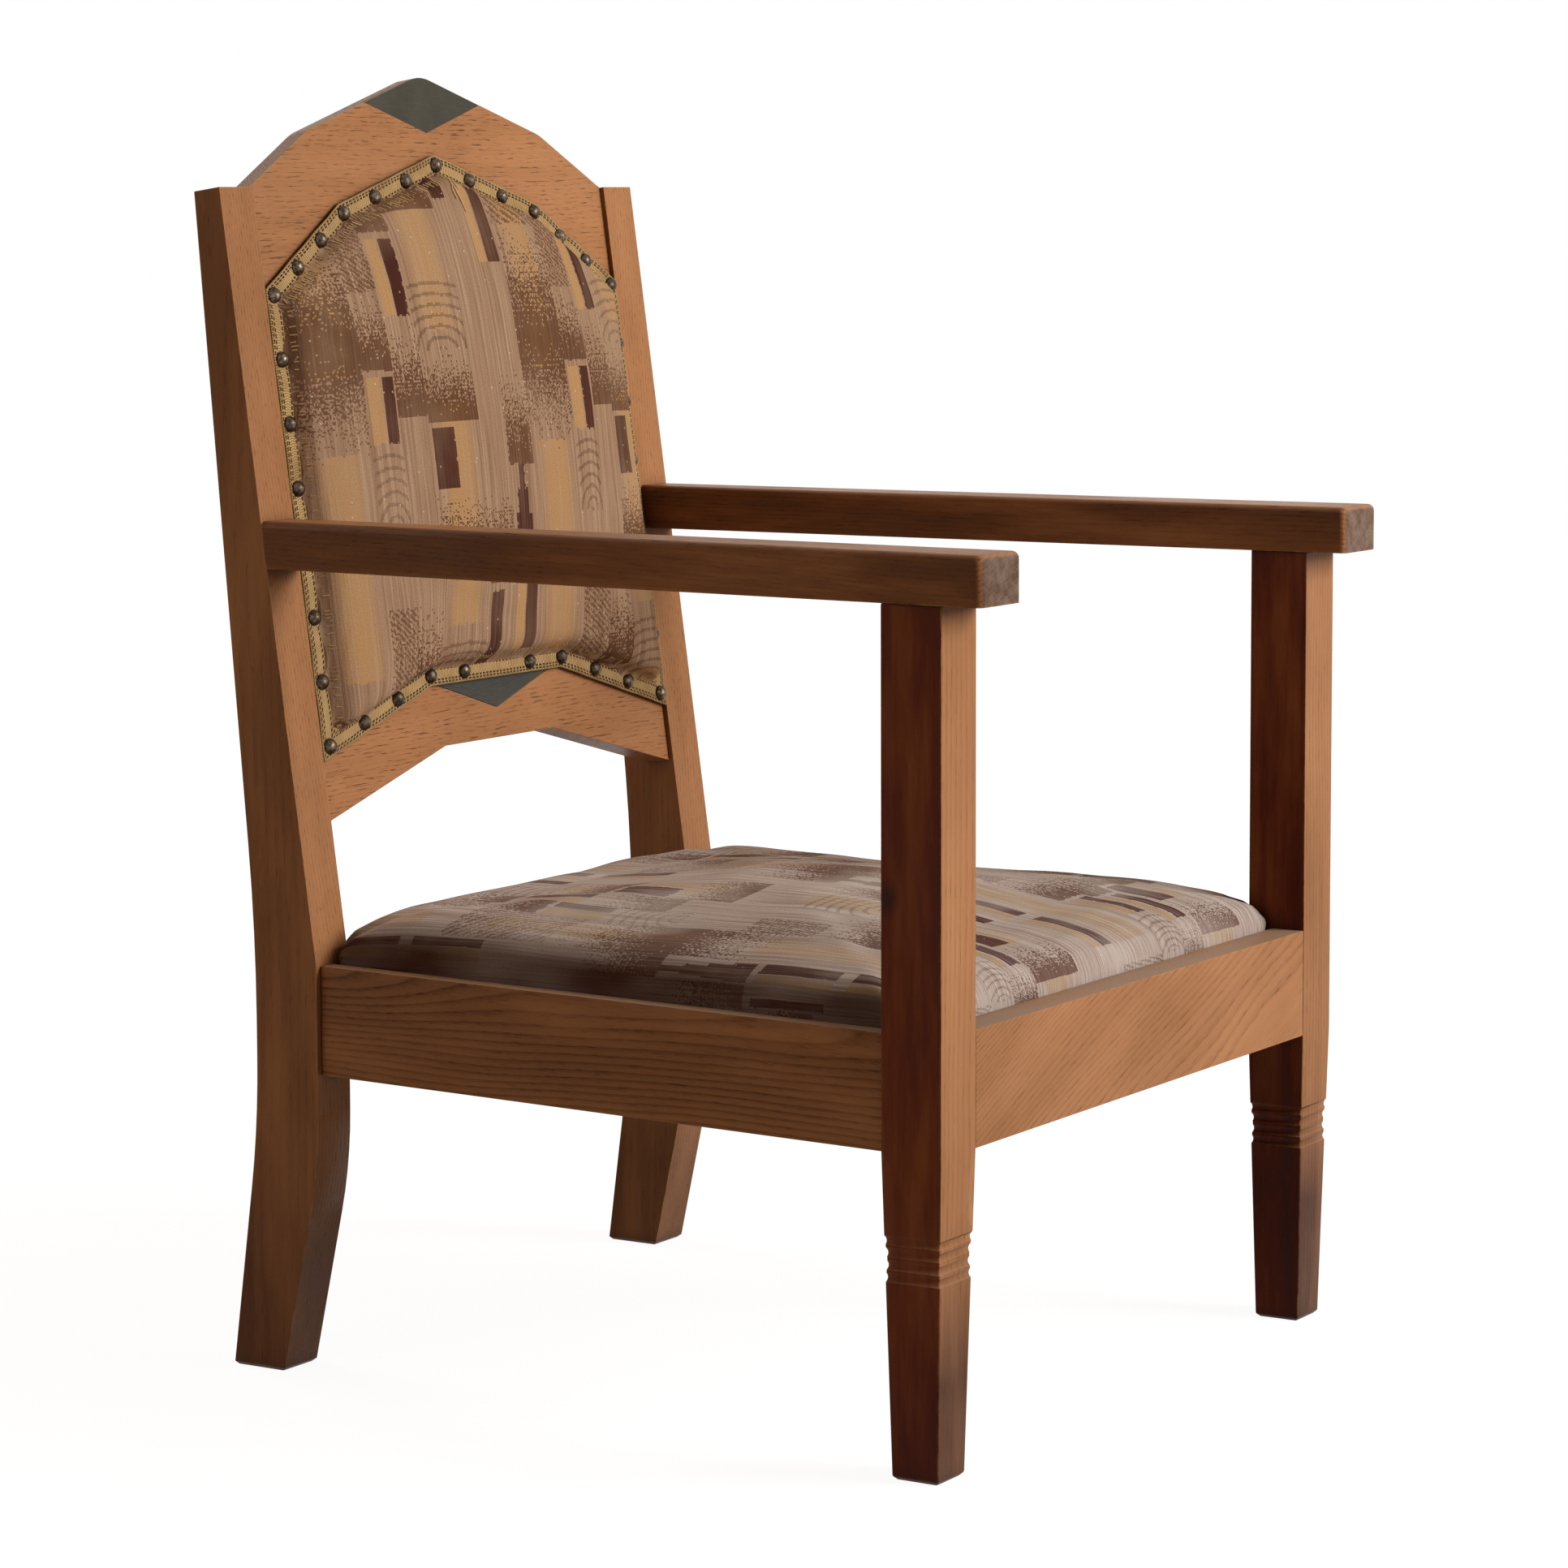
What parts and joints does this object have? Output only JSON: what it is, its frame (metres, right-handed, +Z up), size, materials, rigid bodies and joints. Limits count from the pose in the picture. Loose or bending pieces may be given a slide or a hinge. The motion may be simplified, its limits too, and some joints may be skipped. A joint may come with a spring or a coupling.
{
  "type": "armchair",
  "caption": "Low oak fireside armchair with a gabled, upholstered back, flat open arms, reeded front legs and a drop-in seat.",
  "frame": {"origin": "on the floor, under the middle of the overall box", "axes": "+Z up, -Y the way the sitter faces, +X the sitter's left"},
  "size_m": [0.6272, 0.7034, 0.9795],
  "materials": {
    "oak": "satin varnish, worn",
    "dark_inlay": "satin varnish",
    "beech": "bare",
    "moquette": "cut pile, worn",
    "braid": "woven",
    "hessian": "plain weave",
    "webbing": "twill tape",
    "outback": "plain weave",
    "nail": "dark, polished"
  },
  "bodies": {
    "frame": {"front_right_leg": "oak", "front_left_leg": "oak", "rear_right_post": "oak", "rear_left_post": "oak", "right_arm": "oak", "left_arm": "oak", "front_seat_rail": "oak", "right_seat_rail": "oak", "left_seat_rail": "oak", "rear_seat_rail": "oak", "crest_rail": "oak", "lower_back_rail": "oak", "crest_inlay": "dark_inlay", "lower_inlay": "dark_inlay", "right_back_stile": "beech", "left_back_stile": "beech", "corner_block_front_right": "beech", "corner_block_front_left": "beech", "corner_block_rear_right": "beech", "corner_block_rear_left": "beech", "back_pad": "moquette", "back_braid": "braid", "back_hessian": "hessian", "outback_cloth": "outback", "back_nails": "nail"},
    "drop_in_seat": {"seat_frame_front": "beech", "seat_frame_rear": "beech", "seat_frame_right": "beech", "seat_frame_left": "beech", "seat_webbing": "webbing", "seat_hessian": "hessian", "seat_pad": "moquette"}
  },
  "joints": [
    {"name": "seat_lift", "type": "slide", "parent": "frame", "child": "drop_in_seat", "axis": [0, 0, 1], "range_m": [0, 0.1]}
  ]
}
